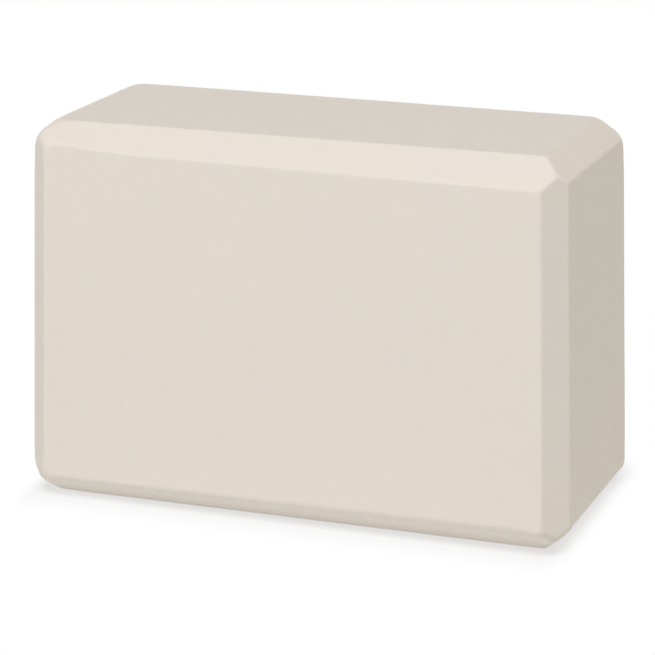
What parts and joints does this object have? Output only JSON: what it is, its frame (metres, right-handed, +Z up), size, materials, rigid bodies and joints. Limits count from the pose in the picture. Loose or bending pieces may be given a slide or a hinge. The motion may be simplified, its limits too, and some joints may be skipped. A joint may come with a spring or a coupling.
{
  "type": "yoga block",
  "caption": "Rectangular foam yoga block with bevelled edges and mitred corners, turned to any of its sides to support a hand, foot or hip at a set height.",
  "frame": {"origin": "middle of the long narrow side that the block stands on", "axes": "+X along the length, +Y from the front broad face to the back one, +Z up from the side it stands on"},
  "size_m": [0.2286, 0.1016, 0.1524],
  "materials": {
    "foam": "matt cream closed-cell EVA foam with a fine even skin"
  },
  "bodies": {
    "root": {"foam_block": "foam"}
  },
  "joints": []
}
